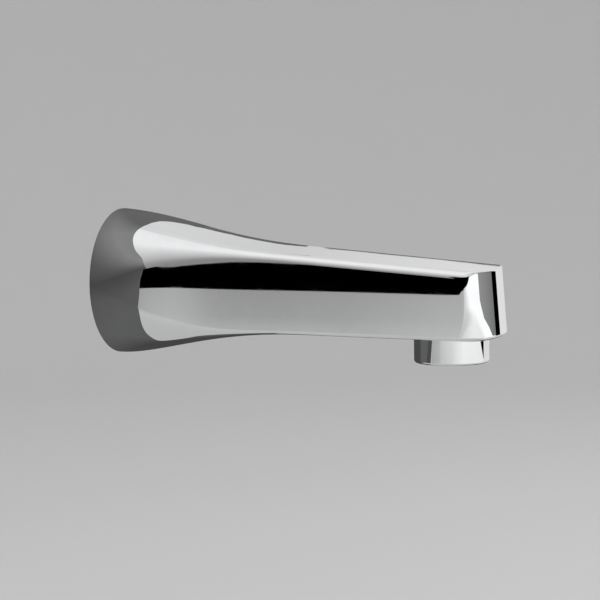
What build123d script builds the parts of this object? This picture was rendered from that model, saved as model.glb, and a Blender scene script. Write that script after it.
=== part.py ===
# Wall mounted bath spout with a pull-down diverter ring.
# Millimetres, +Z up. The origin is the centre of the flange on the wall face.
# The spout leaves the wall along -Y, so a distance d from the wall is y = -d.
import os
from math import cos, radians, sin

from build123d import *

# Outer body
flange_diameter = 65.0
outlet_reach = 156.5
outlet_half_width = 21.5
side_taper = 0.0358
outlet_top = 9.7
top_slope = 0.0753
outlet_underside = -20.4
underside_slope = 0.0125
top_edge_radius = 3.2
underside_edge_radius = 1.5
shell_wall = 3.0

# Flare from the round flange to the straight body. Each pair says how late and how fast it fades.
flare_length = 100.0
width_fade = (2.4, 8.5)
top_fade = (1.7, 4.15)
under_fade = (1.5, 2.5)
corner_fade = (1.3, 3.3)
flange_flat = 0.2
flare_steps = 16

# Gasket rebate in the rear of the shell
gasket_depth = 3.0
gasket_rim = 1.6
gasket_width = 3.9

# Nose, measured forward from the outlet axis
nose_forward = 20.0
nose_lean = 0.073
nose_bow_radius = 48.0
nose_corner_radius = 5.2
nose_round_gain = 6.0
nose_round_height = 20.0
nose_round_power = 2.2
nose_steps = 20
nose_margin_below = 3.0
nose_margin_above = 7.5

# Supply tube and inlet adapter
supply_tube_diameter = 15.88
slip_bore_diameter = 16.0
adapter_start = 12.0
slip_bore_length = 54.0
stop_length = 2.5
stop_bore_diameter = 12.4
tube_socket_depth = 11.5
adapter_body_diameter = 24.6
adapter_flange_diameter = 43.0
adapter_flange_start = 18.0
adapter_flange_thickness = 8.0
adapter_screw_circle = 34.0
adapter_screw_count = 3
adapter_screw_diameter = 4.0
set_screw_diameter = 5.0
o_ring_section = 1.44
adapter_o_ring_setback = 9.0

# Waterway tube
waterway_diameter = 14.0
waterway_bore = 9.6
tube_gap = 0.1
nose_socket_depth = 10.5

# Diverter
diverter_travel = 5.9
closing_gap = 0.1
stem_head_gap = 0.8
stem_tip_length = 0.8
roof_thickness = 3.9
seat_inside_ring = 3.0
shelf_width = 2.0
seat_thread_length = 5.3
seat_bore_diameter = 13.0
seat_skirt = 4.2
seat_lip_height = 0.8
seat_gasket_thickness = 1.0
stem_diameter = 5.0
stem_guide_gap = 0.05
poppet_diameter = 16.4
disc_thickness = 2.0
seal_thickness = 1.6
retainer_thickness = 0.8
clip_thickness = 0.7
spring_wire = 0.7
spring_mean_diameter = 7.6
spring_turns = 6

# Diverter ring
ring_diameter = 32.0
ring_drop = 11.3
ring_wall = 2.4
ring_lip = 1.05
ring_bore_gap = 0.35
ring_top_gap = 0.5
band_gap = 0.06
band_seat_depth = 1.0
band_rim = 1.2
band_height = 4.0
band_split = 1.5
straightener_height = 4.8
snap_ring_thickness = 1.0
snap_ring_split = 3.5

# Shared clearances
join_inset = 0.03
slip_gap = 0.05
thread_gap = 0.05

flange_radius = flange_diameter / 2
ring_radius = ring_diameter / 2
seat_radius = ring_radius - seat_inside_ring
nose_front = outlet_reach + nose_forward

os.makedirs("parts", exist_ok=True)


def half_width_at(d):
    return outlet_half_width + side_taper * (outlet_reach - d)


def top_at(d):
    return outlet_top + top_slope * (outlet_reach - d)


def underside_at(d):
    return outlet_underside + underside_slope * (outlet_reach - d)


def blend(d, fade):
    # 1 at the round flange, 0 where the straight body starts
    onset, decay = fade
    return (1 - (d / flare_length) ** onset) ** decay


def flare_row(d):
    width_w = blend(d, width_fade)
    top_w = blend(d, top_fade)
    under_w = blend(d, under_fade)
    corner_w = blend(d, corner_fade)
    full = flange_radius - flange_flat
    return (
        d,
        half_width_at(d) + width_w * (flange_radius - half_width_at(0)),
        top_at(d) + top_w * (flange_radius - top_at(0)),
        underside_at(d) - under_w * (flange_radius + underside_at(0)),
        top_edge_radius + corner_w * (full - top_edge_radius),
        underside_edge_radius + corner_w * (full - underside_edge_radius),
    )


def nose_corner_at(rise):
    # Plan corner radius at a height above the underside: large below, small at the top
    droop = max(0.0, 1 - rise / nose_round_height)
    return nose_corner_radius + nose_round_gain * droop**nose_round_power


flare_rows = [flare_row(flare_length * i / flare_steps) for i in range(flare_steps + 1)]
nose_span = outlet_top - outlet_underside + nose_margin_below + nose_margin_above
nose_rises = [i * nose_span / nose_steps - nose_margin_below for i in range(nose_steps + 1)]

# Straight front body with the bowed nose: tight corners at the top, rounder below.
with BuildPart() as front_body:
    for rise in nose_rises:
        level = outlet_underside + rise
        front = nose_front - nose_lean * (level - outlet_top)
        near = half_width_at(flare_length)
        far = half_width_at(front)
        sag = far * far / (2 * nose_bow_radius)
        with BuildSketch(Plane.XY.offset(level)):
            with BuildLine():
                Polyline(
                    (far, sag - front),
                    (near, -flare_length),
                    (-near, -flare_length),
                    (-far, sag - front),
                )
                ThreePointArc((-far, sag - front), (0, -front), (far, sag - front))
            make_face()
            fillet(vertices().group_by(Axis.Y)[0], radius=nose_corner_at(rise))
    loft()
    top_plane = Plane(
        origin=(0, -outlet_reach, outlet_top), x_dir=(1, 0, 0), z_dir=(0, -top_slope, 1)
    )
    under_plane = Plane(
        origin=(0, -outlet_reach, outlet_underside), x_dir=(1, 0, 0), z_dir=(0, -underside_slope, 1)
    )
    split(bisect_by=top_plane, keep=Keep.BOTTOM)
    split(bisect_by=under_plane, keep=Keep.TOP)
    top_rim = faces().sort_by(Axis.Z)[-1].edges().sort_by(Axis.Y)[:-1]
    fillet(top_rim, radius=top_edge_radius)
    under_rim = faces().sort_by(Axis.Z)[0].edges().sort_by(Axis.Y)[:-1]
    fillet(under_rim, radius=underside_edge_radius)

# Room inside the shell: open at the wall, ending at the rear of the nose block.
nose_block_start = outlet_reach - seat_radius - nose_socket_depth
rib_inner_radius = adapter_body_diameter / 2 + 0.6
rib_width = 9.0
rib_start = adapter_flange_start + adapter_flange_thickness
screw_angles = [90 + 360 * i / adapter_screw_count for i in range(adapter_screw_count)]
with BuildPart() as room:
    block_row = (
        nose_block_start,
        half_width_at(nose_block_start),
        top_at(nose_block_start),
        underside_at(nose_block_start),
        top_edge_radius,
        underside_edge_radius,
    )
    for rows in (flare_rows, [flare_rows[-1], block_row]):
        for d, half_width, top, under, top_r, under_r in rows:
            x = half_width - shell_wall
            with BuildSketch(Plane.XZ.offset(d)):
                with BuildLine():
                    Polyline(
                        (-x, under + shell_wall),
                        (x, under + shell_wall),
                        (x, top - shell_wall),
                        (-x, top - shell_wall),
                        close=True,
                    )
                make_face()
                fillet(vertices().group_by(Axis.Y)[-1], radius=max(top_r - shell_wall, 1.0))
                fillet(vertices().group_by(Axis.Y)[0], radius=max(under_r - shell_wall, 1.0))
        loft(ruled=len(rows) == 2)
    with BuildSketch(Plane.XZ.offset(rib_start)):
        for angle in screw_angles:
            middle = rib_inner_radius + flange_radius / 2
            spot = (middle * cos(radians(angle)), middle * sin(radians(angle)), 0)
            with Locations(Location(spot, angle)):
                Rectangle(flange_radius, rib_width)
    extrude(amount=nose_block_start - rib_start + 5, mode=Mode.SUBTRACT)

# Heights of the diverter stack, worked down from the roof of the chamber.
chamber_top = outlet_top - roof_thickness
stem_top = chamber_top - stem_head_gap
clip_top = stem_top - stem_tip_length
disc_top = clip_top - clip_thickness
disc_bottom = disc_top - disc_thickness
seal_bottom = disc_bottom - seal_thickness
retainer_bottom = seal_bottom - retainer_thickness
lip_top = seal_bottom - diverter_travel - closing_gap
seat_top = lip_top - seat_lip_height
shelf = seat_top + seat_gasket_thickness
ring_bore_top = seat_top - seat_thread_length
seat_bottom = ring_bore_top - seat_skirt
ring_top = ring_bore_top - ring_top_gap
ring_bottom = outlet_underside - ring_drop
straightener_bottom = ring_bottom + ring_lip
straightener_top = straightener_bottom + straightener_height

# Radii shared by pieces that fit each other.
slip_radius = slip_bore_diameter / 2
stem_radius = stem_diameter / 2
chamber_radius = seat_radius - shelf_width
ring_inner_radius = ring_radius - ring_wall
ring_bore_radius = ring_radius + ring_bore_gap
band_outer_radius = ring_bore_radius + band_seat_depth
band_top = outlet_underside + band_rim + band_height
waterway_radius = waterway_diameter / 2
socket_radius = waterway_radius + tube_gap
gasket_outer_radius = flange_radius - gasket_rim
gasket_inner_radius = gasket_outer_radius - gasket_width
set_screw_distance = adapter_flange_start + adapter_flange_thickness / 2
screw_circle_radius = adapter_screw_circle / 2
screw_radius = adapter_screw_diameter / 2
screw_head_height = 2.6
screw_grip = 10.0
screw_points = [
    (screw_circle_radius * cos(radians(angle)), screw_circle_radius * sin(radians(angle)))
    for angle in screw_angles
]
socket_end = nose_block_start + nose_socket_depth
outlet_axis = Axis((0, -outlet_reach, 0), (0, 0, 1))
inlet_axis = Axis((0, 0, 0), (0, -1, 0))
# Turned profiles are drawn as radius and height, or as distance from the wall and radius.
outlet_profile = Plane(origin=(0, -outlet_reach, 0), x_dir=(1, 0, 0), z_dir=(0, -1, 0))
inlet_profile = Plane(origin=(0, 0, 0), x_dir=(0, -1, 0), z_dir=(-1, 0, 0))

# Cast shell
with BuildPart() as spout_shell:
    for d, half_width, top, under, top_r, under_r in flare_rows:
        # The last outline stays a hair inside the front body, so the two solids join cleanly.
        inset = join_inset * d / flare_length
        x = half_width - inset
        with BuildSketch(Plane.XZ.offset(d)):
            with BuildLine():
                Polyline(
                    (-x, under + inset),
                    (x, under + inset),
                    (x, top - inset),
                    (-x, top - inset),
                    close=True,
                )
            make_face()
            fillet(vertices().group_by(Axis.Y)[-1], radius=top_r)
            fillet(vertices().group_by(Axis.Y)[0], radius=under_r)
    loft()
    add(front_body.part)
    add(room.part, mode=Mode.SUBTRACT)
    with BuildSketch(Plane.XZ):
        Circle(gasket_outer_radius + slip_gap)
    extrude(amount=gasket_depth, mode=Mode.SUBTRACT)
    with BuildSketch(outlet_profile):
        with BuildLine():
            Polyline(
                (0, chamber_top),
                (chamber_radius, chamber_top),
                (chamber_radius, shelf),
                (seat_radius, shelf),
                (seat_radius, ring_bore_top),
                (ring_bore_radius, ring_bore_top),
                (ring_bore_radius, band_top),
                (band_outer_radius + slip_gap, band_top),
                (band_outer_radius + slip_gap, band_top - band_height),
                (ring_bore_radius, band_top - band_height),
                (ring_bore_radius, ring_bottom),
                (0, ring_bottom),
                close=True,
            )
        make_face()
    revolve(axis=outlet_axis, mode=Mode.SUBTRACT)
    with BuildSketch(Plane.XZ.offset(nose_block_start - 1)):
        Circle(socket_radius)
    extrude(amount=nose_socket_depth + 1, mode=Mode.SUBTRACT)
    with BuildSketch(Plane.XZ.offset(socket_end - 1)):
        Circle(waterway_bore / 2)
    extrude(amount=outlet_reach - socket_end, mode=Mode.SUBTRACT)
    with BuildSketch(Plane.XZ.offset(rib_start - 1)):
        with Locations(*screw_points):
            Circle(screw_radius + thread_gap)
    extrude(amount=screw_grip + 2.5, mode=Mode.SUBTRACT)
    with BuildSketch(Plane.XY.offset(-flange_radius - 1)):
        with Locations((0, -set_screw_distance)):
            Circle(set_screw_diameter / 2 + 0.8)
    extrude(amount=flange_radius - adapter_flange_diameter / 2, mode=Mode.SUBTRACT)
spout_shell.part.label = "spout_shell"
export_step(spout_shell.part, "parts/spout_shell.step")

# Foam ring in the rear rebate of the shell, level with the wall face
with BuildPart() as wall_gasket:
    with BuildSketch(Plane.XZ):
        Circle(gasket_outer_radius)
        Circle(gasket_inner_radius, mode=Mode.SUBTRACT)
    extrude(amount=gasket_depth)
wall_gasket.part.label = "wall_gasket"
export_step(wall_gasket.part, "parts/wall_gasket.step")

# Turned brass adapter that slips over the supply tube
o_ring_half = o_ring_section / 2
supply_radius = supply_tube_diameter / 2
groove_half = o_ring_half + 0.3
groove_radius = supply_radius + o_ring_section + 0.02
slip_end = adapter_start + slip_bore_length
stop_end = slip_end + stop_length
adapter_end = stop_end + tube_socket_depth
adapter_o_ring_distances = [slip_end - 2 * adapter_o_ring_setback, slip_end - adapter_o_ring_setback]
adapter_radius = adapter_body_diameter / 2
collar_radius = socket_radius + 3.4
flange_end = adapter_flange_start + adapter_flange_thickness
with BuildPart() as inlet_adapter:
    with BuildSketch(inlet_profile):
        with BuildLine():
            Polyline(
                (adapter_start, slip_radius + 0.8),
                (adapter_start, adapter_radius - 0.8),
                (adapter_flange_start, adapter_radius - 0.8),
                (adapter_flange_start, adapter_flange_diameter / 2),
                (flange_end, adapter_flange_diameter / 2),
                (flange_end, adapter_radius),
                (stop_end + 1.5, adapter_radius),
                (stop_end + 3.5, collar_radius),
                (adapter_end, collar_radius),
                (adapter_end, socket_radius),
                (stop_end, socket_radius),
                (stop_end, stop_bore_diameter / 2),
                (slip_end, stop_bore_diameter / 2),
                (slip_end, slip_radius),
                (adapter_start + 0.8, slip_radius),
                close=True,
            )
        make_face()
    revolve(axis=inlet_axis)
    with BuildSketch(inlet_profile):
        for d in adapter_o_ring_distances:
            with Locations((d, groove_radius - 1.0)):
                Rectangle(2 * groove_half, 2.0)
    revolve(axis=inlet_axis, mode=Mode.SUBTRACT)
    with BuildSketch(Plane.XZ.offset(adapter_flange_start)):
        with Locations(*screw_points):
            Circle(screw_radius + 0.25)
    extrude(amount=adapter_flange_thickness, mode=Mode.SUBTRACT)
    with BuildSketch(Plane.XY):
        with Locations((0, -set_screw_distance)):
            Circle(set_screw_diameter / 2 + thread_gap)
    extrude(amount=-adapter_flange_diameter, mode=Mode.SUBTRACT)
inlet_adapter.part.label = "inlet_adapter"
export_step(inlet_adapter.part, "parts/inlet_adapter.step")

# Two rubber rings that seal on the supply tube
with BuildPart() as adapter_o_rings:
    with BuildSketch(inlet_profile):
        with Locations(*[(d, supply_radius + o_ring_half) for d in adapter_o_ring_distances]):
            Circle(o_ring_half)
    revolve(axis=inlet_axis)
adapter_o_rings.part.label = "adapter_o_rings"
export_step(adapter_o_rings.part, "parts/adapter_o_rings.step")

# Pan head screws that hold the adapter flange to the ribs of the shell
with BuildPart() as adapter_screws:
    with BuildSketch(Plane.XZ.offset(adapter_flange_start - screw_head_height)):
        with Locations(*screw_points):
            Circle(1.75 * screw_radius)
    extrude(amount=screw_head_height)
    fillet(edges().group_by(Axis.Y)[-1], radius=0.9)
    with BuildSketch(Plane.XZ.offset(adapter_flange_start)):
        with Locations(*screw_points):
            Circle(screw_radius)
    extrude(amount=adapter_flange_thickness + screw_grip)
    chamfer(edges().group_by(Axis.Y)[0], length=0.5)
    with BuildSketch(Plane.XZ.offset(adapter_flange_start - screw_head_height)):
        with Locations(*screw_points):
            Rectangle(1.9 * screw_radius, 0.45 * screw_radius)
            Rectangle(0.45 * screw_radius, 1.9 * screw_radius)
    extrude(amount=1.4, mode=Mode.SUBTRACT)
adapter_screws.part.label = "adapter_screws"
export_step(adapter_screws.part, "parts/adapter_screws.step")

# Grub screw from below that grips the supply tube
set_screw_tip = -slip_radius - 0.3
set_screw_base = -adapter_flange_diameter / 2 + 2.0
with BuildPart() as set_screw:
    with BuildSketch(Plane.XY.offset(set_screw_base)):
        with Locations((0, -set_screw_distance)):
            Circle(set_screw_diameter / 2)
    extrude(amount=set_screw_tip - set_screw_base)
    chamfer(edges().group_by(Axis.Z)[-1], length=0.3 * set_screw_diameter)
    chamfer(edges().group_by(Axis.Z)[0], length=0.3)
    with BuildSketch(Plane.XY.offset(set_screw_base)):
        with Locations((0, -set_screw_distance)):
            RegularPolygon(radius=0.29 * set_screw_diameter, side_count=6)
    extrude(amount=0.6 * set_screw_diameter, mode=Mode.SUBTRACT)
set_screw.part.label = "set_screw"
export_step(set_screw.part, "parts/set_screw.step")

# Plastic tube from the adapter to the nose block, with a ring groove near each end
tube_start = stop_end + 0.1
tube_end = socket_end - 0.1
tube_ring_half = 0.75
tube_ring_radius = socket_radius - tube_ring_half
tube_groove_depth = 2 * tube_ring_half - tube_gap + 0.02
tube_ring_distances = [tube_start + 5.0, tube_end - 5.0]
with BuildPart() as waterway_tube:
    with BuildSketch(inlet_profile):
        with Locations(((tube_start + tube_end) / 2, (waterway_radius + waterway_bore / 2) / 2)):
            Rectangle(tube_end - tube_start, waterway_radius - waterway_bore / 2)
        for d in tube_ring_distances:
            with Locations((d, waterway_radius)):
                Rectangle(2 * tube_ring_half + 0.4, 2 * tube_groove_depth, mode=Mode.SUBTRACT)
    revolve(axis=inlet_axis)
waterway_tube.part.label = "waterway_tube"
export_step(waterway_tube.part, "parts/waterway_tube.step")

with BuildPart() as tube_rear_o_ring:
    with BuildSketch(inlet_profile):
        with Locations((tube_ring_distances[0], tube_ring_radius)):
            Circle(tube_ring_half)
    revolve(axis=inlet_axis)
tube_rear_o_ring.part.label = "tube_rear_o_ring"
export_step(tube_rear_o_ring.part, "parts/tube_rear_o_ring.step")

with BuildPart() as tube_front_o_ring:
    with BuildSketch(inlet_profile):
        with Locations((tube_ring_distances[1], tube_ring_radius)):
            Circle(tube_ring_half)
    revolve(axis=inlet_axis)
tube_front_o_ring.part.label = "tube_front_o_ring"
export_step(tube_front_o_ring.part, "parts/tube_front_o_ring.step")

# Fibre washer between the seat and the shelf of the nose block
with BuildPart() as seat_gasket:
    with BuildSketch(Plane(origin=(0, -outlet_reach, seat_top))):
        Circle(seat_radius - 0.1)
        Circle(chamber_radius, mode=Mode.SUBTRACT)
    extrude(amount=seat_gasket_thickness)
seat_gasket.part.label = "seat_gasket"
export_step(seat_gasket.part, "parts/seat_gasket.step")

# Screwed-in diverter seat: a raised lip above, a three-arm stem guide below
seat_outer = seat_radius - thread_gap
seat_hole = seat_bore_diameter / 2
skirt_bore = seat_outer - 2.6
plate_thickness = 2.5
guide_height = 3.0
guide_hub_radius = stem_radius + 2.3
guide_arm_width = 2.6
guide_top = seat_bottom + guide_height
with BuildPart() as diverter_seat:
    with BuildSketch(outlet_profile):
        with BuildLine():
            Polyline(
                (seat_hole, lip_top),
                (seat_hole + 0.9, lip_top),
                (seat_hole + 1.3, seat_top),
                (seat_outer, seat_top),
                (seat_outer, ring_bore_top),
                (seat_outer - 0.4, ring_bore_top - 0.4),
                (seat_outer - 0.4, seat_bottom),
                (skirt_bore, seat_bottom),
                (skirt_bore, seat_top - plate_thickness),
                (seat_hole, seat_top - plate_thickness),
                close=True,
            )
        make_face()
    revolve(axis=outlet_axis)
    with BuildSketch(Plane(origin=(0, -outlet_reach, seat_bottom))):
        Circle(guide_hub_radius)
        with PolarLocations(skirt_bore / 2, 3, start_angle=90):
            Rectangle(skirt_bore + 0.8, guide_arm_width)
        Circle(stem_radius + stem_guide_gap, mode=Mode.SUBTRACT)
    extrude(amount=guide_height)
diverter_seat.part.label = "diverter_seat"
export_step(diverter_seat.part, "parts/diverter_seat.step")

# Nylon band that guides the diverter ring, with a split so that it snaps into its groove
with BuildPart() as guide_band:
    with BuildSketch(Plane(origin=(0, -outlet_reach, band_top - band_height))):
        Circle(band_outer_radius)
        Circle(ring_radius + band_gap, mode=Mode.SUBTRACT)
        with Locations((0, band_outer_radius)):
            Rectangle(band_split, 2 * ring_wall, mode=Mode.SUBTRACT)
    extrude(amount=band_height)
guide_band.part.label = "guide_band"
export_step(guide_band.part, "parts/guide_band.step")

# Stem: clip groove at the top, foot on the straightener, tapped spigot at the bottom
foot_radius = stem_radius + 1.2
foot_height = 1.0
spigot_radius = stem_radius - 0.3
spigot_bottom = straightener_bottom + 1.6
stem_screw_radius = 1.25
clip_groove_radius = stem_radius - 0.6
with BuildPart() as diverter_stem:
    with BuildSketch(outlet_profile):
        with BuildLine():
            Polyline(
                (0, stem_top),
                (stem_radius - 0.3, stem_top),
                (stem_radius, stem_top - 0.3),
                (stem_radius, clip_top),
                (clip_groove_radius, clip_top),
                (clip_groove_radius, disc_top),
                (stem_radius, disc_top),
                (stem_radius, straightener_top + foot_height),
                (foot_radius, straightener_top + foot_height),
                (foot_radius, straightener_top),
                (spigot_radius, straightener_top),
                (spigot_radius, spigot_bottom),
                (stem_screw_radius + thread_gap, spigot_bottom),
                (stem_screw_radius + thread_gap, straightener_top + 3.5),
                (0, straightener_top + 3.5),
                close=True,
            )
        make_face()
    revolve(axis=outlet_axis)
diverter_stem.part.label = "diverter_stem"
export_step(diverter_stem.part, "parts/diverter_stem.step")

# Poppet on the stem: disc, rubber seal and retaining washer under an E-clip
poppet_radius = poppet_diameter / 2
poppet_bore = stem_radius + slip_gap
with BuildPart() as poppet_disc:
    with BuildSketch(Plane(origin=(0, -outlet_reach, disc_bottom))):
        Circle(poppet_radius)
        Circle(poppet_bore, mode=Mode.SUBTRACT)
    extrude(amount=disc_thickness)
    fillet(edges().group_by(Axis.Z)[-1].sort_by(SortBy.LENGTH)[-1], radius=0.5)
poppet_disc.part.label = "poppet_disc"
export_step(poppet_disc.part, "parts/poppet_disc.step")

with BuildPart() as poppet_seal:
    with BuildSketch(Plane(origin=(0, -outlet_reach, seal_bottom))):
        Circle(poppet_radius - 0.2)
        Circle(poppet_bore, mode=Mode.SUBTRACT)
    extrude(amount=seal_thickness)
poppet_seal.part.label = "poppet_seal"
export_step(poppet_seal.part, "parts/poppet_seal.step")

with BuildPart() as seal_retainer:
    with BuildSketch(Plane(origin=(0, -outlet_reach, retainer_bottom))):
        Circle(spring_mean_diameter / 2 + 1.2)
        Circle(poppet_bore, mode=Mode.SUBTRACT)
    extrude(amount=retainer_thickness)
seal_retainer.part.label = "seal_retainer"
export_step(seal_retainer.part, "parts/seal_retainer.step")

with BuildPart() as poppet_clip:
    with BuildSketch(Plane(origin=(0, -outlet_reach, disc_top))):
        Circle(stem_radius + 1.8)
        Circle(clip_groove_radius + 0.05, mode=Mode.SUBTRACT)
        with Locations((0, -stem_radius)):
            Rectangle(1.5 * clip_groove_radius, 2 * stem_radius, mode=Mode.SUBTRACT)
    extrude(amount=clip_thickness)
poppet_clip.part.label = "poppet_clip"
export_step(poppet_clip.part, "parts/poppet_clip.step")

# Return spring between the guide and the poppet
spring_height = retainer_bottom - guide_top - spring_wire
with BuildPart() as return_spring:
    with BuildLine(Plane(origin=(0, -outlet_reach, guide_top + spring_wire / 2))) as coil:
        Helix(pitch=spring_height / spring_turns, height=spring_height, radius=spring_mean_diameter / 2)
    with BuildSketch(Plane(origin=coil.line @ 0, z_dir=coil.line % 0)):
        Circle(spring_wire / 2)
    sweep(path=coil.line, is_frenet=True)
return_spring.part.label = "return_spring"
export_step(return_spring.part, "parts/return_spring.step")

# Ring that is pulled down by hand: plain outside, lip and snap ring groove inside
groove_bottom = straightener_top + 0.02
groove_top = groove_bottom + snap_ring_thickness + 0.1
groove_depth = 0.8
with BuildPart() as diverter_ring:
    with BuildSketch(outlet_profile):
        with BuildLine():
            Polyline(
                (ring_inner_radius, ring_top),
                (ring_radius, ring_top),
                (ring_radius, ring_bottom),
                (ring_inner_radius - 1.0, ring_bottom),
                (ring_inner_radius - 1.0, straightener_bottom),
                (ring_inner_radius, straightener_bottom),
                (ring_inner_radius, groove_bottom),
                (ring_inner_radius + groove_depth, groove_bottom),
                (ring_inner_radius + groove_depth, groove_top),
                (ring_inner_radius, groove_top),
                close=True,
            )
        make_face()
    revolve(axis=outlet_axis)
    fillet(edges().group_by(Axis.Z)[0].sort_by(SortBy.LENGTH)[-1], radius=1.0)
    fillet(edges().group_by(Axis.Z)[0].sort_by(SortBy.LENGTH)[0], radius=0.5)
    fillet(edges().group_by(Axis.Z)[-1].sort_by(SortBy.LENGTH)[-1], radius=0.5)
diverter_ring.part.label = "diverter_ring"
export_step(diverter_ring.part, "parts/diverter_ring.step")

# Plastic flow straightener: rim, middle ring, hub and radial vanes
rim_outer = ring_inner_radius - slip_gap
rim_inner = rim_outer - 1.1
hub_radius = foot_radius + 0.6
vane_count = 12
vane_thickness = 0.8
middle_ring_radius = (rim_inner + hub_radius) / 2
with BuildPart() as flow_straightener:
    with BuildSketch(Plane(origin=(0, -outlet_reach, straightener_bottom))):
        Circle(rim_outer)
        Circle(rim_inner, mode=Mode.SUBTRACT)
        with BuildSketch(mode=Mode.PRIVATE) as middle_ring:
            Circle(middle_ring_radius + vane_thickness / 2)
            Circle(middle_ring_radius - vane_thickness / 2, mode=Mode.SUBTRACT)
        add(middle_ring.sketch)
        Circle(hub_radius)
        with PolarLocations((rim_inner + hub_radius) / 2, vane_count):
            Rectangle(rim_inner - hub_radius + 0.8, vane_thickness)
        Circle(spigot_radius + slip_gap, mode=Mode.SUBTRACT)
    extrude(amount=straightener_height)
    with BuildSketch(Plane(origin=(0, -outlet_reach, straightener_bottom))):
        Circle(hub_radius - 0.4)
        Circle(stem_screw_radius + 0.2, mode=Mode.SUBTRACT)
    extrude(amount=spigot_bottom - straightener_bottom - 0.1)
flow_straightener.part.label = "flow_straightener"
export_step(flow_straightener.part, "parts/flow_straightener.step")

# Split ring that keeps the straightener in the diverter ring
with BuildPart() as snap_ring:
    with BuildSketch(Plane(origin=(0, -outlet_reach, groove_bottom + 0.02))):
        Circle(ring_inner_radius + groove_depth - 0.05)
        Circle(ring_inner_radius - 1.1, mode=Mode.SUBTRACT)
        with Locations((0, ring_inner_radius)):
            Rectangle(snap_ring_split, 2 * ring_wall, mode=Mode.SUBTRACT)
    extrude(amount=snap_ring_thickness)
snap_ring.part.label = "snap_ring"
export_step(snap_ring.part, "parts/snap_ring.step")

# Screw that pulls the stem and the straightener together
stem_screw_head = 0.75
with BuildPart() as stem_screw:
    with BuildSketch(Plane(origin=(0, -outlet_reach, straightener_bottom - stem_screw_head))):
        Circle(2.1 * stem_screw_radius)
    extrude(amount=stem_screw_head)
    fillet(edges().group_by(Axis.Z)[0], radius=0.4)
    with BuildSketch(Plane(origin=(0, -outlet_reach, straightener_bottom))):
        Circle(stem_screw_radius)
    extrude(amount=straightener_height + 2.5)
    with BuildSketch(Plane(origin=(0, -outlet_reach, straightener_bottom - stem_screw_head))):
        Rectangle(2.4 * stem_screw_radius, 0.5 * stem_screw_radius)
        Rectangle(0.5 * stem_screw_radius, 2.4 * stem_screw_radius)
    extrude(amount=0.6 * stem_screw_head, mode=Mode.SUBTRACT)
stem_screw.part.label = "stem_screw"
export_step(stem_screw.part, "parts/stem_screw.step")
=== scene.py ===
from math import atan, atan2, cos, hypot, pi, radians, sin, sqrt, tan

import bmesh
import bpy
from mathutils import Matrix, Vector


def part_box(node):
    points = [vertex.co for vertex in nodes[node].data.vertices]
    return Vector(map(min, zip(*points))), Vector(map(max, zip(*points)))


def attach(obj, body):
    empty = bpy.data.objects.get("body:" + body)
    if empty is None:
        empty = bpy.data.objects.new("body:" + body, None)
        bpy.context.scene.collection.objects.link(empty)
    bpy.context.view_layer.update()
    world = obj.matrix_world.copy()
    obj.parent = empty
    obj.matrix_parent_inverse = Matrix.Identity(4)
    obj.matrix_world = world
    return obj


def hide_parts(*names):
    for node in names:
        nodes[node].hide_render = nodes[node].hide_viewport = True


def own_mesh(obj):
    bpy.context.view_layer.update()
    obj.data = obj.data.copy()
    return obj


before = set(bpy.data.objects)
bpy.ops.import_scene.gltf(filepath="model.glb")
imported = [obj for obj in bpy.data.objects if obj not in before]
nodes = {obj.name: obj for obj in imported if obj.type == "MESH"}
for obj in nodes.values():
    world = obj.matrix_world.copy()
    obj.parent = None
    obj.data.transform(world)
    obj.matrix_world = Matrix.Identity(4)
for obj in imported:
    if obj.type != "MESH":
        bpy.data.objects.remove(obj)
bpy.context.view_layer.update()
scene = bpy.context.scene

# Camera, fitted to the round flange and the outlet ring of the photograph
camera_azimuth = radians(-66.95)
camera_elevation = radians(5.37)
camera_roll = radians(-0.75)
camera_distance = 0.9174
camera_aim = Vector((-0.0023, -0.0876, -0.0068))
camera_lens = 126.0
sensor_width = 36.0
camera_clip_start = 0.01

# Floor, which curves up into a round backdrop
floor_level = -0.26
floor_flat_radius = 1.6
sweep_radius = 0.9
sweep_top = 1.6
sweep_steps = 16
floor_turns = 96
floor_tone = 0.62
floor_roughness = 0.9
floor_specular = 0.1

# Lights: name, place, diameter and power
light_aim = (0, -0.09, 0)
lights = [
    ("key", (-0.9, -0.9, 1.3), 0.9, 8),
    ("fill", (0.9, -0.8, 0.9), 1.0, 4),
]
ambient_strength = 0.85

# Sheets that only polished metal shows, at these distances round a centre
panel_centre = Vector((0.0, -0.1, 0.0))
panel_distance = 1.05
near_distance = 1.01
middle_distance = 1.03
far_distance = 1.07
floor_card_distance = 0.6
panel_columns = 48
left_dark_tone = 0.07
ring_card_tone = 0.73
edge_tone = 0.13

# Grey sheets on the floor beside the spout: name, reach along X, reach along Y, and tone at each end of X
side_card_lift = 0.01
side_cards = [
    ("right_floor_card", (0.12, 1.1), (-0.33, 0.3), (0.08, 0.55)),
    ("left_floor_card", (0.1, -1.2), (-1, 0.9), (0.47, 0.55)),
]

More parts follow.
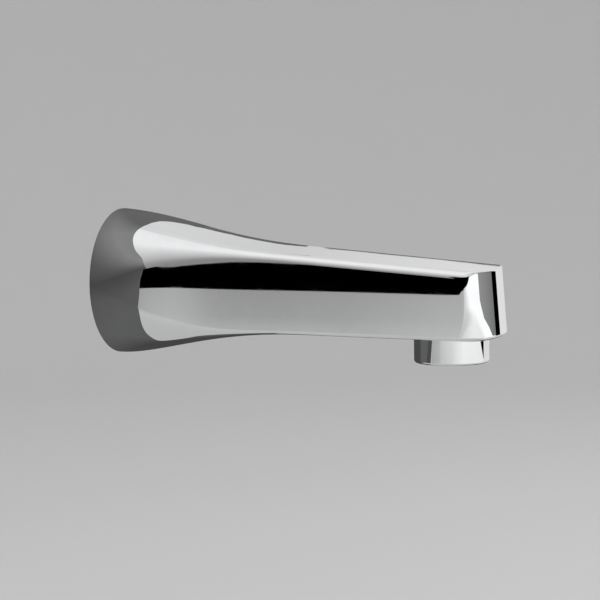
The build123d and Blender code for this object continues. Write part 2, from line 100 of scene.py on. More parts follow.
# Edge of the mirrored wall as (X, Z) in millimetres, its tone at heights in millimetres,
# and the X in millimetres between which it darkens to a share of that tone
wall_gap = 1.5
wall_edge_steps = 6
wall_upper_edge = [
    (-208, -2), (-178, 14), (-116, 49), (-67, 58), (-40, 63.4), (-21, 70.2), (-5, 76.7), (10.6, 80.3),
    (19.6, 80.6), (29.3, 78.6), (38.8, 73.4), (46.1, 67.4), (51.5, 57.9), (53.5, 47.7)
]
wall_top_edge = [(56.4, 47.9), (66.2, 49), (79.1, 50.9), (90, 52.4), (100, 53.8), (110, 54.6)]
wall_far_corners = [(112, 40), (600, 36), (600, -255), (-105, -255)]
wall_lower_edge = [
    (-64, -187), (-40, -166), (-6, -139), (-2, -97), (-30, -80), (-67, -62), (-125, -37),
    (-160, -20), (-172, -10.4), (-185, -7.5), (-208, -2)
]
wall_tones = [
    (-70, 0.105), (-36, 0.115), (-12, 0.1), (0, 0.063), (12, 0.1), (28, 0.19), (40, 0.24), (60, 0.23)
]
wall_tone_span = 70
wall_dark_start = -25
wall_dark_end = 5
wall_dark_share = 0.55

# Return spring in millimetres, and how it is drawn
spring_wire = 0.7
spring_turns = 6
spring_steps = 24
spring_sides = 10

# Outer form of the spout in millimetres, with d the distance from the wall
metres = 0.001
shell_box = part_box("spout_shell")
ring_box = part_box("diverter_ring")
flange_radius = shell_box[1][0] / metres
outlet_reach = -(ring_box[0][1] + ring_box[1][1]) / 2 / metres
outlet_half_width = 21.5
side_taper = 0.0358
outlet_top = 9.7
top_slope = 0.0753
outlet_underside = -20.4
underside_slope = 0.0125
top_edge_radius = 3.2
front_edge_radius = 0.9
underside_edge_radius = 1.5
flare_length = 100.0
width_fade = (2.4, 8.5)
top_fade = (1.7, 4.15)
under_fade = (1.5, 2.5)
corner_fade = (1.3, 3.3)
flange_flat = 0.2
nose_front = outlet_reach + 20.0
nose_lean = 0.073
nose_bow_radius = 48.0
nose_corner_radius = 5.2
nose_round_gain = 6.0
nose_round_height = 20.0
nose_round_power = 2.2
outlet_bore_radius = 16.35
screw_hole_distance = 22.0
screw_hole_radius = 3.3
plating_thickness = 0.06
# A trace of casting draft: the sides lean out over the flare and in towards the nose
draft_start = 40.0
draft_end = 160.0
draft_slope = 0.0022
draft_height = -4.0

# How finely the plating is divided
flare_step = 2.0
flare_count = round(flare_length / flare_step)
flat_steps = 12
arc_steps = 18
wall_steps = 18
side_stations = 26
corner_stations = 20
bow_stations = 14
rim_passes = 5
hole_rings = 4
screw_patch_rows = 3

# How near the points of the plating are to join, in metres, and from which angle its rims stay crisp
weld_distance = 1e-7
mirror_weld_distance = 1e-6
crisp_angle = radians(40)

# Unit for the relief of the materials
micron = 1e-6


def place_camera():
    towards = Vector(
        (
            sin(camera_azimuth) * cos(camera_elevation),
            -cos(camera_azimuth) * cos(camera_elevation),
            sin(camera_elevation),
        )
    )
    right = Vector((0, 0, 1)).cross(towards).normalized()
    up = towards.cross(right)
    turned_right = right * cos(camera_roll) + up * sin(camera_roll)
    turned_up = up * cos(camera_roll) - right * sin(camera_roll)
    axes = Matrix((turned_right, turned_up, towards)).transposed()
    data = bpy.data.cameras.new("camera")
    data.lens = camera_lens
    data.sensor_width = sensor_width
    data.clip_start = camera_clip_start
    camera = bpy.data.objects.new("camera", data)
    camera.matrix_world = Matrix.Translation(camera_aim + towards * camera_distance) @ axes.to_4x4()
    scene.collection.objects.link(camera)
    scene.camera = camera


def mesh_object(name, points, faces, material):
    mesh = bpy.data.meshes.new(name)
    mesh.from_pydata(points, [], faces)
    mesh.update()
    mesh.materials.append(material)
    obj = bpy.data.objects.new(name, mesh)
    scene.collection.objects.link(obj)
    return obj


def new_material(name):
    material = bpy.data.materials.new(name)
    material.use_nodes = True
    tree = material.node_tree
    return material, tree, tree.nodes["Principled BSDF"]


def build_floor():
    # Flat disc that curves up into a round backdrop, as in a studio sweep
    profile = [(0.0, floor_level), (floor_flat_radius, floor_level)]
    for i in range(1, sweep_steps + 1):
        angle = 0.5 * pi * i / sweep_steps
        profile.append(
            (floor_flat_radius + sweep_radius * sin(angle), floor_level + sweep_radius * (1 - cos(angle)))
        )
    profile.append((floor_flat_radius + sweep_radius, sweep_top))
    points = []
    for radius, height in profile:
        for i in range(floor_turns):
            angle = 2 * pi * i / floor_turns
            points.append((radius * cos(angle), radius * sin(angle) + panel_centre.y, height))
    faces = []
    for row in range(len(profile) - 1):
        inner = row * floor_turns
        outer = inner + floor_turns
        for i in range(floor_turns):
            j = (i + 1) % floor_turns
            faces.append((inner + i, inner + j, outer + j, outer + i))
    material, _, shader = new_material("floor")
    shader.inputs["Base Color"].default_value = (floor_tone, floor_tone, floor_tone, 1)
    shader.inputs["Roughness"].default_value = floor_roughness
    shader.inputs["Specular IOR Level"].default_value = floor_specular
    floor = mesh_object("floor", points, faces, material)
    floor.data.polygons.foreach_set("use_smooth", [True] * len(floor.data.polygons))


def reflection_only(obj):
    # Seen in polished metal, but neither by the camera nor as a shadow on the floor
    obj.visible_camera = False
    obj.visible_diffuse = False
    obj.visible_shadow = False


def along(row, t):
    # Point at a share t of the swing of a row of (swing, lift, tone) points
    swing = row[0][0] + t * (row[-1][0] - row[0][0])
    for (a, lift_a, tone_a), (b, lift_b, tone_b) in zip(row, row[1:]):
        if swing <= b or (b, lift_b, tone_b) == row[-1]:
            share = (swing - a) / (b - a)
            return swing, lift_a + share * (lift_b - lift_a), tone_a + share * (tone_b - tone_a)


def tone_material():
    # Glow with the tone that each point of a sheet carries
    material = bpy.data.materials.new("light_sheet")
    material.use_nodes = True
    tree = material.node_tree
    tree.nodes.clear()
    tone = tree.nodes.new("ShaderNodeAttribute")
    tone.attribute_name = "tone"
    glow = tree.nodes.new("ShaderNodeEmission")
    out = tree.nodes.new("ShaderNodeOutputMaterial")
    tree.links.new(tone.outputs["Color"], glow.inputs["Color"])
    tree.links.new(glow.outputs[0], out.inputs["Surface"])
    return material


def toned_sheet(name, points, faces, tones, material):
    sheet = mesh_object(name, points, faces, material)
    sheet.data.color_attributes.new("tone", "FLOAT_COLOR", "POINT").data.foreach_set("color", tones)
    reflection_only(sheet)


def panel(name, material, distance, *rows):
    # Sheet round the spout, given by rows of (swing, lift, tone) from low to high, in degrees.
    # Swing goes from -Y towards -X and lift is above level.
    shares = {i / panel_columns for i in range(panel_columns + 1)}
    for row in rows:
        shares |= {(point[0] - row[0][0]) / (row[-1][0] - row[0][0]) for point in row}
    shares = sorted(shares)
    points = []
    tones = []
    for row in rows:
        for share in shares:
            swing, lift, tone = along(row, share)
            angle = radians(swing)
            points.append(panel_centre + distance * Vector((-sin(angle), -cos(angle), tan(radians(lift)))))
            tones += (tone, tone, tone, 1)
    faces = []
    for r in range(len(rows) - 1):
        for i in range(len(shares) - 1):
            low = r * len(shares) + i
            high = low + len(shares)
            faces.append((low, low + 1, high + 1, high))
    toned_sheet(name, points, faces, tones, material)


def level_row(lift, *points):
    # Row at one lift, from points of (swing, tone)
    return [(swing, lift, tone) for swing, tone in points]


def tone_row(tone, *points):
    # Row in one tone, from points of (swing, lift)
    return [(swing, lift, tone) for swing, lift in points]


def build_side_cards(glow):
    # Darken the floor that the sides mirror when they are seen from above
    height = floor_level + side_card_lift
    for name, reach_x, reach_y, end_tones in side_cards:
        points = []
        tones = []
        for y in reach_y:
            for x, tone in zip(reach_x, end_tones):
                points.append((x, y, height))
                tones += (tone, tone, tone, 1)
        toned_sheet(name, points, [(0, 1, 3, 2)], tones, glow)


def build_left_panels(glow):
    # Tall softbox, a black flag at the foot of it, and a grey and a dark card below
    softbox_tones = [
        (-4.6, 0.24), (-3.6, 0.25), (3, 0.29), (11, 0.39), (20, 0.51), (29, 0.6), (39, 0.7), (47, 0.8),
        (55, 0.88), (72, 0.88)
    ]
    rows = [level_row(lift, (90, tone), (190, tone)) for lift, tone in softbox_tones]
    panel("left_softbox", glow, panel_distance, *rows)
    panel(
        "left_flag", glow, near_distance,
        tone_row(0, (48, -0.3), (52, -0.75), (60, -1.4), (78, -2.9), (97.4, -4.5), (100.45, -4.85),
                 (100.6, -5.06), (150, -5.06)),
        tone_row(0, (48, 16), (60, 20), (98, 24), (99.8, 16), (100.3, 8), (100.5, 1), (100.7, -2.5),
                 (100.8, -4.02), (101.2, -3.99), (101.8, -3.93), (102.6, -3.9), (103.6, -3.85),
                 (104.75, -3.81), (106.6, -3.76), (110.4, -3.65), (150, -3.5)),
    )
    panel(
        "left_low_card", glow, middle_distance,
        level_row(-13, (99.5, 0.6), (103, 0.5), (108, 0.47), (130, 0.4)),
        level_row(-8, (99.5, 0.6), (103, 0.5), (108, 0.47), (130, 0.4)),
        level_row(-6.9, (99.5, 0.66), (100.6, 0.5), (106, 0.42), (130, 0.41)),
        level_row(-6.4, (99.5, 0.66), (100.6, 0.46), (106, 0.38), (110, 0.35), (130, 0.35)),
        level_row(-4.5, (99.5, 0.66), (100.6, 0.4), (106, 0.32), (110, 0.3), (130, 0.3)),
    )
    panel(
        "left_dark_card", glow, panel_distance,
        tone_row(left_dark_tone, (140, -9.6), (225, -9.6)),
        tone_row(left_dark_tone, (126, -7), (225, -7)),
    )


def build_front_panels(glow):
    # White softbox for the nose and a card below it, a grey card and a black slit for its flat front,
    # and a slit and a card for the edge of the ring
    panel(
        "front_softbox", glow, panel_distance,
        level_row(-13.6, (-30, 0.86), (38, 0.85), (55, 0.8), (100, 0.62)),
        level_row(-9, (-52, 0.83), (32, 0.88), (43, 0.82), (55, 0.74), (68, 0.65), (100, 0.55)),
        level_row(-7.2, (-54, 0.85), (32, 0.93), (55, 0.8), (68, 0.7), (100, 0.58)),
        level_row(-5.5, (-54, 1), (56, 1), (71, 0.86), (87, 0.75), (100, 0.66)),
        level_row(-4.2, (-53, 1.05), (56, 1.05), (71, 0.9), (87, 0.78), (100, 0.68)),
        level_row(-2.6, (-41.5, 1.05), (56, 1.05), (100, 0.9)),
        level_row(-1.8, (-34.4, 1.05), (100, 1.05)),
        level_row(-0.7, (-29.6, 1.05), (100, 1.05)),
        level_row(4, (-29.6, 1.05), (100, 1.05)),
        level_row(9, (-29.6, 0.62), (100, 0.75)),
        level_row(40, (-29.6, 0.45), (100, 0.7)),
        level_row(70, (-29.6, 0.7), (100, 0.8)),
    )
    panel(
        "nose_low_card", glow, floor_card_distance,
        level_row(-21, (-30, 0.86), (20, 0.85), (38, 0.82), (60, 0.75), (100, 0.6)),
        level_row(-12, (-30, 0.86), (38, 0.88), (55, 0.83), (67, 0.76), (100, 0.62)),
    )
    panel(
        "facet_card", glow, far_distance,
        level_row(-7, (-58, 0.16), (-28, 0.3)),
        level_row(24, (-58, 0.16), (-28, 0.3)),
    )
    panel(
        "facet_slit", glow, middle_distance,
        tone_row(0, (-64.4, -6.2), (-53.7, -6.2)),
        tone_row(0, (-64.4, 20), (-53.7, 20)),
    )
    panel(
        "ring_slit", glow, near_distance,
        tone_row(0, (-41.5, -8.3), (-40.5, -8.3)),
        tone_row(0, (-41.5, -7.2), (-24, -7.2)),
    )
    panel(
        "ring_card", glow, middle_distance,
        tone_row(ring_card_tone, (-95, -9.5), (-40, -9.5)),
        tone_row(ring_card_tone, (-95, -7.15), (-40, -7.15)),
    )


def build_right_panels(glow):
    # Softbox that the top mirrors, with two dark sheets that draw a line along its far edge
    panel(
        "right_softbox", glow, panel_distance,
        level_row(-9, (-150, 0.62), (-113, 0.62), (-105, 0.72), (-64, 0.78)),
        level_row(9, (-150, 0.62), (-113, 0.62), (-105, 0.72), (-64, 0.78)),
        level_row(20, (-150, 0.6), (-64, 0.8)),
        level_row(46, (-150, 0.61), (-64, 0.8)),
        level_row(60, (-150, 0.67), (-64, 0.8)),
        level_row(72, (-150, 0.76), (-64, 0.8)),
    )
    rear_edge = [
        (-112.515, 8.36), (-112.9, 8.8), (-113.24, 9.4), (-113.45, 10.07), (-113.57, 10.85),
        (-113.65, 11.9), (-113.68, 13.29), (-113.62, 14.6), (-113.67, 15.54), (-113.73, 16.15),
        (-113.85, 16.64), (-113.95, 16.85)
    ]
    rear_side = -112.35
    rows = [tone_row(edge_tone, (swing, lift), (rear_side, lift)) for swing, lift in rear_edge]
    panel("edge_flag_rear", glow, near_distance, *rows)
    panel(
        "edge_flag_front", glow, near_distance,
        tone_row(edge_tone, (-111.9, 5), (-100, 5)),
        tone_row(edge_tone, (-111.9, 7.95), (-111.6, 7.92), (-111.1, 7.87), (-110.3, 7.84), (-107.8, 7.76),
                 (-105.2, 7.66), (-100, 7.5)),
    )


def build_panels():
    glow = tone_material()
    build_left_panels(glow)
    build_front_panels(glow)
    build_right_panels(glow)
    build_side_cards(glow)


def smooth_line(points, steps):
    # Curve through the points, each piece a cubic that leaves along the line between its neighbours
    ends = [points[0], *points, points[-1]]
    line = []
    for before, a, b, after in zip(ends, ends[1:], ends[2:], ends[3:]):
        for i in range(steps):
            t = i / steps
            weights = (
                0.5 * (-t + 2 * t**2 - t**3),
                0.5 * (2 - 5 * t**2 + 3 * t**3),
                0.5 * (t + 4 * t**2 - 3 * t**3),
                0.5 * (t**3 - t**2),
            )
            corners = (before, a, b, after)
            line.append([sum(w * p[k] for w, p in zip(weights, corners)) for k in range(2)])
    return [*line, points[-1]]


def wall_material():
    # Dark at the height of the spout and on its far side, paler above and below
    material = bpy.data.materials.new("wall_card")
    material.use_nodes = True
    tree = material.node_tree
    tree.nodes.clear()
    place = tree.nodes.new("ShaderNodeTexCoord")
    parts = tree.nodes.new("ShaderNodeSeparateXYZ")
    tree.links.new(place.outputs["Object"], parts.inputs[0])
    height = tree.nodes.new("ShaderNodeMapRange")
    height.inputs["From Min"].default_value = -wall_tone_span * metres
    height.inputs["From Max"].default_value = wall_tone_span * metres
    tree.links.new(parts.outputs["Z"], height.inputs["Value"])
    ramp = tree.nodes.new("ShaderNodeValToRGB")
    stops = ramp.color_ramp.elements
    while len(stops) < len(wall_tones):
        stops.new(1.0)
    for stop, (z, tone) in zip(stops, wall_tones):
        stop.position = 0.5 + 0.5 * z / wall_tone_span
        stop.color = (tone, tone, tone, 1)
    tree.links.new(height.outputs["Result"], ramp.inputs["Fac"])
    side = tree.nodes.new("ShaderNodeMapRange")
    side.inputs["From Min"].default_value = wall_dark_start * metres
    side.inputs["From Max"].default_value = wall_dark_end * metres
    side.inputs["To Min"].default_value = 1.0
    side.inputs["To Max"].default_value = wall_dark_share
    tree.links.new(parts.outputs["X"], side.inputs["Value"])
    glow = tree.nodes.new("ShaderNodeEmission")
    tree.links.new(ramp.outputs["Color"], glow.inputs["Color"])
    tree.links.new(side.outputs["Result"], glow.inputs["Strength"])
    out = tree.nodes.new("ShaderNodeOutputMaterial")
    tree.links.new(glow.outputs[0], out.inputs["Surface"])
    return material


def build_wall_card():
    # The grey wall as far as the flare mirrors it
    outline = smooth_line(wall_upper_edge, wall_edge_steps)
    outline += smooth_line(wall_top_edge, wall_edge_steps)
    outline += wall_far_corners
    outline += smooth_line(wall_lower_edge, wall_edge_steps)[:-1]
    points = [(x * metres, wall_gap * metres, z * metres) for x, z in outline]
    reflection_only(mesh_object("wall_card", points, [tuple(range(len(points)))], wall_material()))


def area_light(name, place, size, power):
    data = bpy.data.lights.new(name, "AREA")
    data.shape = "DISK"
    data.size = size
    data.energy = power
    light = bpy.data.objects.new(name, data)
    light.location = place
    light.rotation_euler = (Vector(light_aim) - Vector(place)).to_track_quat("-Z", "Y").to_euler()
    light.visible_glossy = False
    light.visible_camera = False
    scene.collection.objects.link(light)


def build_lights():
    for light in lights:
        area_light(*light)
    world = bpy.data.worlds.new("studio")
    scene.world = world
    world.use_nodes = True
    background = world.node_tree.nodes["Background"]
    background.inputs["Color"].default_value = (1, 1, 1, 1)
    background.inputs["Strength"].default_value = ambient_strength


def half_width_at(d):
    return outlet_half_width + side_taper * (outlet_reach - d)


def top_at(d):
    return outlet_top + top_slope * (outlet_reach - d)


def underside_at(d):
    return outlet_underside + underside_slope * (outlet_reach - d)


def fade(d, shape):
    # 1 at the round flange, 0 where the straight body starts
    onset, decay = shape
    return (1 - (d / flare_length) ** onset) ** decay


def flare_underside_at(d):
    return underside_at(d) - fade(d, under_fade) * (flange_radius + underside_at(0))


def crowded(count):
    # Fractions from 0 to 1 that crowd at both ends, where a flat meets a rounded edge
    return [0.5 - 0.5 * cos(pi * i / count) for i in range(count + 1)]


def flare_section(d):
    # Half of a rounded rectangle, from the middle of the top round to the middle of the underside
    half_width = half_width_at(d) + fade(d, width_fade) * (flange_radius - half_width_at(0))
    top = top_at(d) + fade(d, top_fade) * (flange_radius - top_at(0))
    under = flare_underside_at(d)
    corner = fade(d, corner_fade)
    full = flange_radius - flange_flat
    top_r = top_edge_radius + corner * (full - top_edge_radius)
    under_r = underside_edge_radius + corner * (full - underside_edge_radius)
    quarter = [0.5 * pi * i / arc_steps for i in range(arc_steps)]
    wall_top = top - top_r
    wall_foot = under + under_r
    points = [(t * (half_width - top_r), top) for t in crowded(flat_steps)[:-1]]
    points += [(half_width - top_r * (1 - sin(a)), wall_top + top_r * cos(a)) for a in quarter]
    points += [(half_width, wall_top + t * (wall_foot - wall_top)) for t in crowded(wall_steps)[:-1]]
    points += [(half_width - under_r * (1 - cos(a)), wall_foot - under_r * sin(a)) for a in quarter]
    points += [((1 - t) * (half_width - under_r), under) for t in crowded(flat_steps)]
    return [(x, d, z) for x, z in points]


def nose_corner(level):
    # Centre and radius of the rounded corner of the plan, and the bowed front that it meets
    droop = max(0.0, 1 - (level - outlet_underside) / nose_round_height)
    radius = nose_corner_radius + nose_round_gain * droop**nose_round_power
    front = nose_front - nose_lean * (level - outlet_top)
    far = half_width_at(front)
    bow = nose_bow_radius + far * far / (4 * nose_bow_radius)
    bow_centre = front - bow
    slant = hypot(1, side_taper)
    reach = outlet_half_width + side_taper * outlet_reach - radius * slant
    half_sum = side_taper * reach + bow_centre
    rest = reach * reach + bow_centre * bow_centre - (bow - radius) ** 2
    d = (half_sum + sqrt(half_sum * half_sum - slant * slant * rest)) / (slant * slant)
    return reach - side_taper * d, d, radius, bow_centre, bow


def outline_point(station, level):
    # Point of the plan outline, and the direction in which it faces
    stretch, t = station
    x, d, radius, bow_centre, bow = nose_corner(level)
    side_angle = atan(side_taper)
    bow_angle = atan2(d - bow_centre, x)
    if stretch == "side":
        end = d + radius * sin(side_angle)
        d = flare_length + t * (end - flare_length)
        return half_width_at(d), d, cos(side_angle), sin(side_angle)
    if stretch == "corner":
        angle = side_angle + t * (bow_angle - side_angle)
        return x + radius * cos(angle), d + radius * sin(angle), cos(angle), sin(angle)
    angle = bow_angle + t * (0.5 * pi - bow_angle)
    return bow * cos(angle), bow_centre + bow * sin(angle), cos(angle), sin(angle)


def rim_point(station, turn, radius, plane_at, side):
    # Point of a rounded rim: turn 0 is on the wall, a quarter turn is on the flat
    inset = radius * (1 - cos(turn))
    depth = radius * (1 - sin(turn))
    level = plane_at(outlet_reach) - side * depth
    for _ in range(rim_passes):
        x, d, face_x, face_d = outline_point(station, level)
        x -= inset * face_x
        d -= inset * face_d
        level = plane_at(d) - side * depth
    return x, d, level


def rim_radius(station):
    # Soft along the sides, tight along the bowed front
    stretch, t = station
    share = {"side": 0.0, "corner": t * t * (3 - 2 * t), "bow": 1.0}[stretch]
    return top_edge_radius + share * (front_edge_radius - top_edge_radius)


def front_section(station):
    # The same rows as a flare section, down to where the underside starts
    turns = [0.5 * pi * i / arc_steps for i in range(arc_steps + 1)]
    radius = rim_radius(station)
    top_rim = [rim_point(station, 0.5 * pi - turn, radius, top_at, 1) for turn in turns]
    under_rim = [rim_point(station, turn, underside_edge_radius, underside_at, -1) for turn in turns]
    edge_x, edge_d, edge_z = top_rim[0]
    points = [(t * edge_x, edge_d, edge_z) for t in crowded(flat_steps)[:-1]]
    points += top_rim[:-1]
    start, end = top_rim[-1][2], under_rim[0][2]
    for t in crowded(wall_steps)[:-1]:
        level = start + t * (end - start)
        points.append((*outline_point(station, level)[:2], level))
    return points + under_rim


def drafted(x, d, z):
    # Distance from the middle plane once the side leans
    share = min(1.0, max(0.0, (d - draft_start) / (draft_end - draft_start)))
    lean = draft_slope * (2 * share - 1)
    return x - lean * (z - draft_height) * x / half_width_at(d)


def holed_patch(points, faces, loop, hole_distance, hole_radius, height_at):
    # Rings of faces from a loop of points in to the edge of a round hole in the underside
    rows = [loop]
    for ring in range(1, hole_rings + 1):
        t = ring / hole_rings
        row = []
        for index in loop:
            x, d, _ = points[index]
            away = hypot(x, d - hole_distance)
            shrink = (1 - t) + t * hole_radius / away
            ring_d = hole_distance + (d - hole_distance) * shrink
            row.append(len(points))
            points.append((x * shrink, ring_d, height_at(ring_d)))
        rows.append(row)
    for outer, inner in zip(rows, rows[1:]):
        for k in range(len(loop) - 1):
            faces.append((outer[k], outer[k + 1], inner[k + 1], inner[k]))


def plating_sections():
    # Sections of one half of the outer skin, from the wall to the middle of the front
    sections = [flare_section(flare_length * i / flare_count) for i in range(flare_count + 1)]
    stations = [("side", t) for t in crowded(side_stations)[1:]]
    stations += [("corner", i / corner_stations) for i in range(1, corner_stations + 1)]
    stations += [("bow", i / bow_stations) for i in range(1, bow_stations + 1)]
    return sections + [front_section(station) for station in stations]


def plating_mesh():
    # One half of the outer skin, with holes in its underside for the set screw and the outlet
    points = []
    rows = []
    for section in plating_sections():
        rows.append(range(len(points), len(points) + len(section)))
        points += section
    under_start = flat_steps + 2 * arc_steps + wall_steps
    under_end = under_start + flat_steps
    hole_column = under_end - flat_steps // 2
    screw_row = round(screw_hole_distance / flare_step)
    hole_rows = range(screw_row - screw_patch_rows, screw_row + screw_patch_rows)
    faces = []
    for i in range(len(rows) - 1):
        columns = under_end if i < flare_count else under_start
        for j in range(columns):
            if i in hole_rows and j >= hole_column:
                continue
            faces.append((rows[i][j], rows[i + 1][j], rows[i + 1][j + 1], rows[i][j + 1]))
    first, last = hole_rows[0], hole_rows[-1] + 1
    screw_loop = [rows[first][j] for j in range(under_end, hole_column, -1)]
    screw_loop += [rows[i][hole_column] for i in range(first, last + 1)]
    screw_loop += [rows[last][j] for j in range(hole_column + 1, under_end + 1)]
    holed_patch(points, faces, screw_loop, screw_hole_distance, screw_hole_radius, flare_underside_at)
    outlet_loop = [rows[flare_count][j] for j in range(under_end, under_start, -1)]
    outlet_loop += [row[under_start] for row in rows[flare_count:]]
    holed_patch(points, faces, outlet_loop, outlet_reach, outlet_bore_radius, underside_at)
    return [(drafted(*point) * metres, -point[1] * metres, point[2] * metres) for point in points], faces


def build_plating(material):
    # Chrome layer over the outside of the cast shell
    points, faces = plating_mesh()
    plating = mesh_object("chrome_plating", points, faces, material)
    mesh = bmesh.new()
    mesh.from_mesh(plating.data)
    bmesh.ops.remove_doubles(mesh, verts=mesh.verts, dist=weld_distance)
    mesh.to_mesh(plating.data)
    mesh.free()
    plating.data.polygons.foreach_set("use_smooth", [True] * len(plating.data.polygons))
    mirror = plating.modifiers.new("both_halves", "MIRROR")
    mirror.merge_threshold = mirror_weld_distance
    layer = plating.modifiers.new("layer", "SOLIDIFY")
    layer.thickness = plating_thickness * metres
    layer.offset = 1
    edges = plating.modifiers.new("crisp_rims", "EDGE_SPLIT")
    edges.split_angle = crisp_angle
    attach(plating, "spout")


def build_spring(material):
    # Coil of the return spring, drawn at rest with even turns
    low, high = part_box("return_spring")
    wire_radius = spring_wire / 2 * metres
    coil_radius = (high.x - low.x) / 2 - wire_radius
    rise = high.z - low.z - 2 * wire_radius
    foot = Vector((0, -outlet_reach * metres, low.z + wire_radius))
    stations = spring_turns * spring_steps
    slope = rise / (2 * pi * spring_turns * coil_radius)
    points = []
    for i in range(stations + 1):
        turn = 2 * pi * i / spring_steps
        out = Vector((cos(turn), sin(turn), 0))
        middle = foot + coil_radius * out + Vector((0, 0, rise * i / stations))
        run = Vector((-sin(turn), cos(turn), slope)).normalized()
        across = run.cross(out)
        for k in range(spring_sides):
            angle = 2 * pi * k / spring_sides
            points.append(middle + wire_radius * (cos(angle) * out + sin(angle) * across))
    faces = []
    for i in range(stations):
        for k in range(spring_sides):
            a = i * spring_sides + k
            b = i * spring_sides + (k + 1) % spring_sides
            faces.append((a, b, b + spring_sides, a + spring_sides))
    faces.append(tuple(reversed(range(spring_sides))))
    faces.append(tuple(range(stations * spring_sides, (stations + 1) * spring_sides)))
    spring = mesh_object("spring_coil", points, faces, material)
    spring.data.polygons.foreach_set("use_smooth", [len(face) == 4 for face in faces])
    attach(spring, "spout")
    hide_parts("return_spring")
    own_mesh(spring)


def texture_space(tree, shift=(0, 0, 0), scale=(1, 1, 1)):
    # Coordinates of the object in metres, moved and stretched
    place = tree.nodes.new("ShaderNodeTexCoord")
    mapping = tree.nodes.new("ShaderNodeMapping")
    mapping.inputs["Location"].default_value = shift
    mapping.inputs["Scale"].default_value = scale
    tree.links.new(place.outputs["Object"], mapping.inputs["Vector"])
    return mapping.outputs["Vector"]


def noise(tree, space, scale, detail):
    node = tree.nodes.new("ShaderNodeTexNoise")
    node.inputs["Scale"].default_value = scale
    node.inputs["Detail"].default_value = detail
    tree.links.new(space, node.inputs["Vector"])
    return node.outputs["Fac"]


def spread(tree, value, low, high, socket, start=0.3, end=0.7):
    # Number that follows a texture between two limits
    node = tree.nodes.new("ShaderNodeMapRange")
    node.inputs["From Min"].default_value = start
    node.inputs["From Max"].default_value = end
    node.inputs["To Min"].default_value = low
    node.inputs["To Max"].default_value = high
    tree.links.new(value, node.inputs["Value"])
    tree.links.new(node.outputs["Result"], socket)


def tint(tree, value, dark, light, socket, start=0.3, end=0.7):
    # Colour that follows a texture between two tones
    ramp = tree.nodes.new("ShaderNodeValToRGB")
    ramp.color_ramp.elements[0].position = start
    ramp.color_ramp.elements[0].color = (*dark, 1)
    ramp.color_ramp.elements[1].position = end
    ramp.color_ramp.elements[1].color = (*light, 1)
    tree.links.new(value, ramp.inputs["Fac"])
    tree.links.new(ramp.outputs["Color"], socket)


def bump(tree, shader, value, height):
    # Relief with the given height in metres
    node = tree.nodes.new("ShaderNodeBump")
    node.inputs["Strength"].default_value = 1.0
    node.inputs["Distance"].default_value = height
    tree.links.new(value, node.inputs["Height"])
    tree.links.new(node.outputs["Normal"], shader.inputs["Normal"])


def chrome():
    # Mirror plate with a trace of polishing haze and of waviness in the casting below
    material, tree, shader = new_material("chrome")
    space = texture_space(tree)
    haze = noise(tree, space, scale=160.0, detail=5.0)
    tint(tree, haze, (0.915, 0.92, 0.93), (0.945, 0.95, 0.955), shader.inputs["Base Color"])
    shader.inputs["Metallic"].default_value = 1.0
    spread(tree, haze, 0.006, 0.016, shader.inputs["Roughness"])
    waves = noise(tree, space, scale=55.0, detail=1.0)
    bump(tree, shader, waves, height=2 * micron)
    return material


def cast_metal():
    # Grey zinc casting: matt, grainy, with darker patches
    material, tree, shader = new_material("cast_metal")
    space = texture_space(tree)
    patches = noise(tree, space, scale=90.0, detail=4.0)
    grain = noise(tree, space, scale=1800.0, detail=2.0)
    tint(tree, patches, (0.30, 0.30, 0.31), (0.46, 0.46, 0.47), shader.inputs["Base Color"])
    shader.inputs["Metallic"].default_value = 1.0
    spread(tree, grain, 0.42, 0.62, shader.inputs["Roughness"])
    bump(tree, shader, grain, height=120 * micron)
    return material


def turned_brass(name, axis, shift):
    # Brass from the lathe: fine tool rings round the axis and a faint brown bloom
    material, tree, shader = new_material(name)
    space = texture_space(tree, shift)
    marks = tree.nodes.new("ShaderNodeTexWave")
    marks.wave_type = "BANDS"
    marks.bands_direction = axis
    marks.inputs["Scale"].default_value = 900.0
    marks.inputs["Distortion"].default_value = 0.6
    tree.links.new(space, marks.inputs["Vector"])
    bloom = noise(tree, space, scale=120.0, detail=4.0)
    tint(tree, bloom, (0.58, 0.40, 0.17), (0.74, 0.56, 0.28), shader.inputs["Base Color"])
    shader.inputs["Metallic"].default_value = 1.0
    spread(tree, bloom, 0.2, 0.36, shader.inputs["Roughness"])
    bump(tree, shader, marks.outputs["Fac"], height=10 * micron)
    return material


def rubber(name, dark, light, grain_scale):
    # Moulded rubber: nearly black, with a dusty mottle and a fine grain
    material, tree, shader = new_material(name)
    space = texture_space(tree)
    dust = noise(tree, space, scale=300.0, detail=5.0)
    tint(tree, dust, dark, light, shader.inputs["Base Color"])
    spread(tree, dust, 0.5, 0.72, shader.inputs["Roughness"])
    shader.inputs["Specular IOR Level"].default_value = 0.35
    grain = noise(tree, space, scale=grain_scale, detail=2.0)
    bump(tree, shader, grain, height=20 * micron)
    return material


def foam():
    # Closed-cell foam: small round cells in charcoal grey, with painted shade that darkens the pit of each
    # cell
    material, tree, shader = new_material("foam")
    space = texture_space(tree)
    cells = tree.nodes.new("ShaderNodeTexVoronoi")
    cells.inputs["Scale"].default_value = 1500.0
    tree.links.new(space, cells.inputs["Vector"])
    depth = cells.outputs["Distance"]
    grey = shader.inputs["Base Color"]
    # Painted shade: the grey darkens towards the middle of each cell, where the relief below sinks into a
    # pit
    tint(tree, depth, (0.025, 0.025, 0.027), (0.075, 0.075, 0.08), grey, start=0.1, end=0.6)
    spread(tree, depth, 0.75, 0.95, shader.inputs["Roughness"], start=0.1, end=0.6)
    shader.inputs["Specular IOR Level"].default_value = 0.2
    bump(tree, shader, depth, height=150 * micron)
    return material


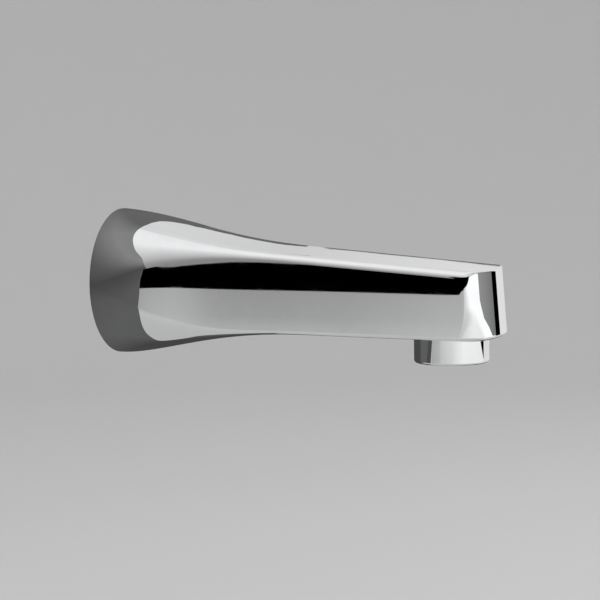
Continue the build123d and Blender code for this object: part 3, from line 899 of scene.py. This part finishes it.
def fibre():
    # Red fibre washer: pressed strands that lie flat
    material, tree, shader = new_material("fibre")
    space = texture_space(tree, scale=(1.0, 0.35, 3.0))
    strands = noise(tree, space, scale=900.0, detail=6.0)
    tint(tree, strands, (0.20, 0.055, 0.035), (0.42, 0.15, 0.09), shader.inputs["Base Color"])
    spread(tree, strands, 0.65, 0.85, shader.inputs["Roughness"])
    bump(tree, shader, strands, height=40 * micron)
    return material


def moulded_plastic(name, dark, light):
    # Acetal or nylon: off-white, waxy, with a slight flow mottle
    material, tree, shader = new_material(name)
    space = texture_space(tree)
    flow = noise(tree, space, scale=140.0, detail=3.0)
    tint(tree, flow, dark, light, shader.inputs["Base Color"])
    spread(tree, flow, 0.32, 0.46, shader.inputs["Roughness"])
    shader.inputs["Subsurface Weight"].default_value = 0.12
    shader.inputs["Subsurface Radius"].default_value = (0.001, 0.001, 0.0008)
    grain = noise(tree, space, scale=2500.0, detail=2.0)
    bump(tree, shader, grain, height=12 * micron)
    return material


def steel(name, dark, light, stretch):
    # Drawn or rolled steel: fine lines along one direction and a grey cast
    material, tree, shader = new_material(name)
    lines = noise(tree, texture_space(tree, scale=stretch), scale=2200.0, detail=4.0)
    tint(tree, lines, dark, light, shader.inputs["Base Color"])
    shader.inputs["Metallic"].default_value = 1.0
    spread(tree, lines, 0.2, 0.38, shader.inputs["Roughness"])
    bump(tree, shader, lines, height=15 * micron)
    return material


def dress(material, *names):
    for name in names:
        for place in nodes[name].material_slots:
            place.material = material


def dress_nodes(chrome_material):
    outlet_shift = (0, outlet_reach * metres, 0)
    dress(chrome_material, "diverter_ring")
    dress(cast_metal(), "spout_shell")
    dress(foam(), "wall_gasket")
    dress(turned_brass("brass_inlet", "Y", (0, 0, 0)), "inlet_adapter")
    dress(turned_brass("brass_outlet", "Z", outlet_shift), "diverter_seat", "diverter_stem", "poppet_disc")
    dress(
        rubber("nitrile", (0.012, 0.012, 0.013), (0.03, 0.03, 0.031), 1600.0),
        "adapter_o_rings",
        "tube_rear_o_ring",
        "tube_front_o_ring",
        "poppet_seal",
    )
    dress(fibre(), "seat_gasket")
    dress(moulded_plastic("acetal", (0.74, 0.74, 0.72), (0.83, 0.83, 0.81)), "waterway_tube")
    dress(moulded_plastic("white_acetal", (0.78, 0.78, 0.77), (0.87, 0.87, 0.86)), "flow_straightener")
    dress(moulded_plastic("nylon", (0.66, 0.65, 0.60), (0.77, 0.76, 0.72)), "guide_band")
    bright = steel("stainless", (0.50, 0.50, 0.52), (0.64, 0.64, 0.66), (1.0, 1.0, 0.1))
    build_spring(bright)
    dress(bright, "seal_retainer", "poppet_clip", "snap_ring", "stem_screw")
    dress(steel("zinc_plate", (0.52, 0.54, 0.58), (0.68, 0.67, 0.62), (1.0, 0.15, 1.0)), "adapter_screws")
    dress(steel("dark_steel", (0.26, 0.26, 0.28), (0.40, 0.40, 0.42), (1.0, 1.0, 0.2)), "set_screw")


scene.view_settings.view_transform = "Standard"
place_camera()
build_floor()
build_panels()
build_wall_card()
build_lights()
chrome_material = chrome()
build_plating(chrome_material)
dress_nodes(chrome_material)
